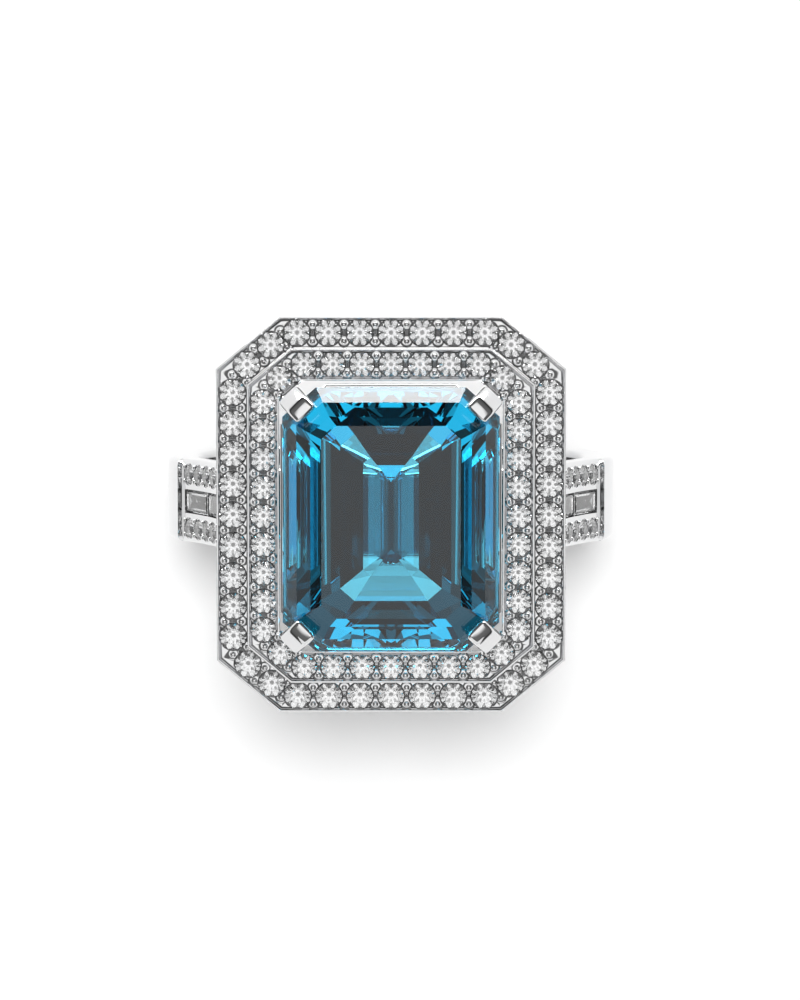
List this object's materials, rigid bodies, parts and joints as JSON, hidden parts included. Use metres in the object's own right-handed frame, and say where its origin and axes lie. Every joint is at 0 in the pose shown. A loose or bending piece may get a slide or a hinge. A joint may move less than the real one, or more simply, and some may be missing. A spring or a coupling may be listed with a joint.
{
  "type": "cocktail ring",
  "caption": "Finger ring with a large cut-corner step-cut stone in a four-prong basket, a stepped double halo of small round stones, and stone-set shoulders.",
  "frame": {"origin": "centre of the finger hole", "axes": "+Y along the finger, +Z out through the centre stone's table, +X across the finger"},
  "size_m": [0.0204, 0.0168, 0.0261],
  "materials": {
    "white_gold": "polished, rhodium-bright",
    "blue_topaz": "faceted and polished, deep blue",
    "white_stone": "faceted and polished, colourless"
  },
  "bodies": {
    "root": {"baguette_left_lower": "white_stone", "baguette_left_upper": "white_stone", "baguette_right_lower": "white_stone", "baguette_right_upper": "white_stone", "basket_base_rail": "white_gold", "basket_seat_rail": "white_gold", "centre_stone": "blue_topaz", "gallery_wire_north": "white_gold", "gallery_wire_south": "white_gold", "inner_halo_frame": "white_gold", "inner_halo_stone_01": "white_stone", "inner_halo_stone_02": "white_stone", "inner_halo_stone_03": "white_stone", "inner_halo_stone_04": "white_stone", "inner_halo_stone_05": "white_stone", "inner_halo_stone_06": "white_stone", "inner_halo_stone_07": "white_stone", "inner_halo_stone_08": "white_stone", "inner_halo_stone_09": "white_stone", "inner_halo_stone_10": "white_stone", "inner_halo_stone_11": "white_stone", "inner_halo_stone_12": "white_stone", "inner_halo_stone_13": "white_stone", "inner_halo_stone_14": "white_stone", "inner_halo_stone_15": "white_stone", "inner_halo_stone_16": "white_stone", "inner_halo_stone_17": "white_stone", "inner_halo_stone_18": "white_stone", "inner_halo_stone_19": "white_stone", "inner_halo_stone_20": "white_stone", "inner_halo_stone_21": "white_stone", "inner_halo_stone_22": "white_stone", "inner_halo_stone_23": "white_stone", "inner_halo_stone_24": "white_stone", "inner_halo_stone_25": "white_stone", "inner_halo_stone_26": "white_stone", "inner_halo_stone_27": "white_stone", "inner_halo_stone_28": "white_stone", "inner_halo_stone_29": "white_stone", "inner_halo_stone_30": "white_stone", "inner_halo_stone_31": "white_stone", "inner_halo_stone_32": "white_stone", "inner_halo_stone_33": "white_stone", "inner_halo_stone_34": "white_stone", "inner_halo_stone_35": "white_stone", "inner_halo_stone_36": "white_stone", "outer_halo_frame": "white_gold", "outer_halo_stones_east": "white_stone", "outer_halo_stones_north": "white_stone", "outer_halo_stones_south": "white_stone", "outer_halo_stones_west": "white_stone", "prong_north_east": "white_gold", "prong_north_west": "white_gold", "prong_south_east": "white_gold", "prong_south_west": "white_gold", "shank": "white_gold", "shoulder_stones_left_north": "white_stone", "shoulder_stones_left_south": "white_stone", "shoulder_stones_right_north": "white_stone", "shoulder_stones_right_south": "white_stone"}
  },
  "joints": []
}
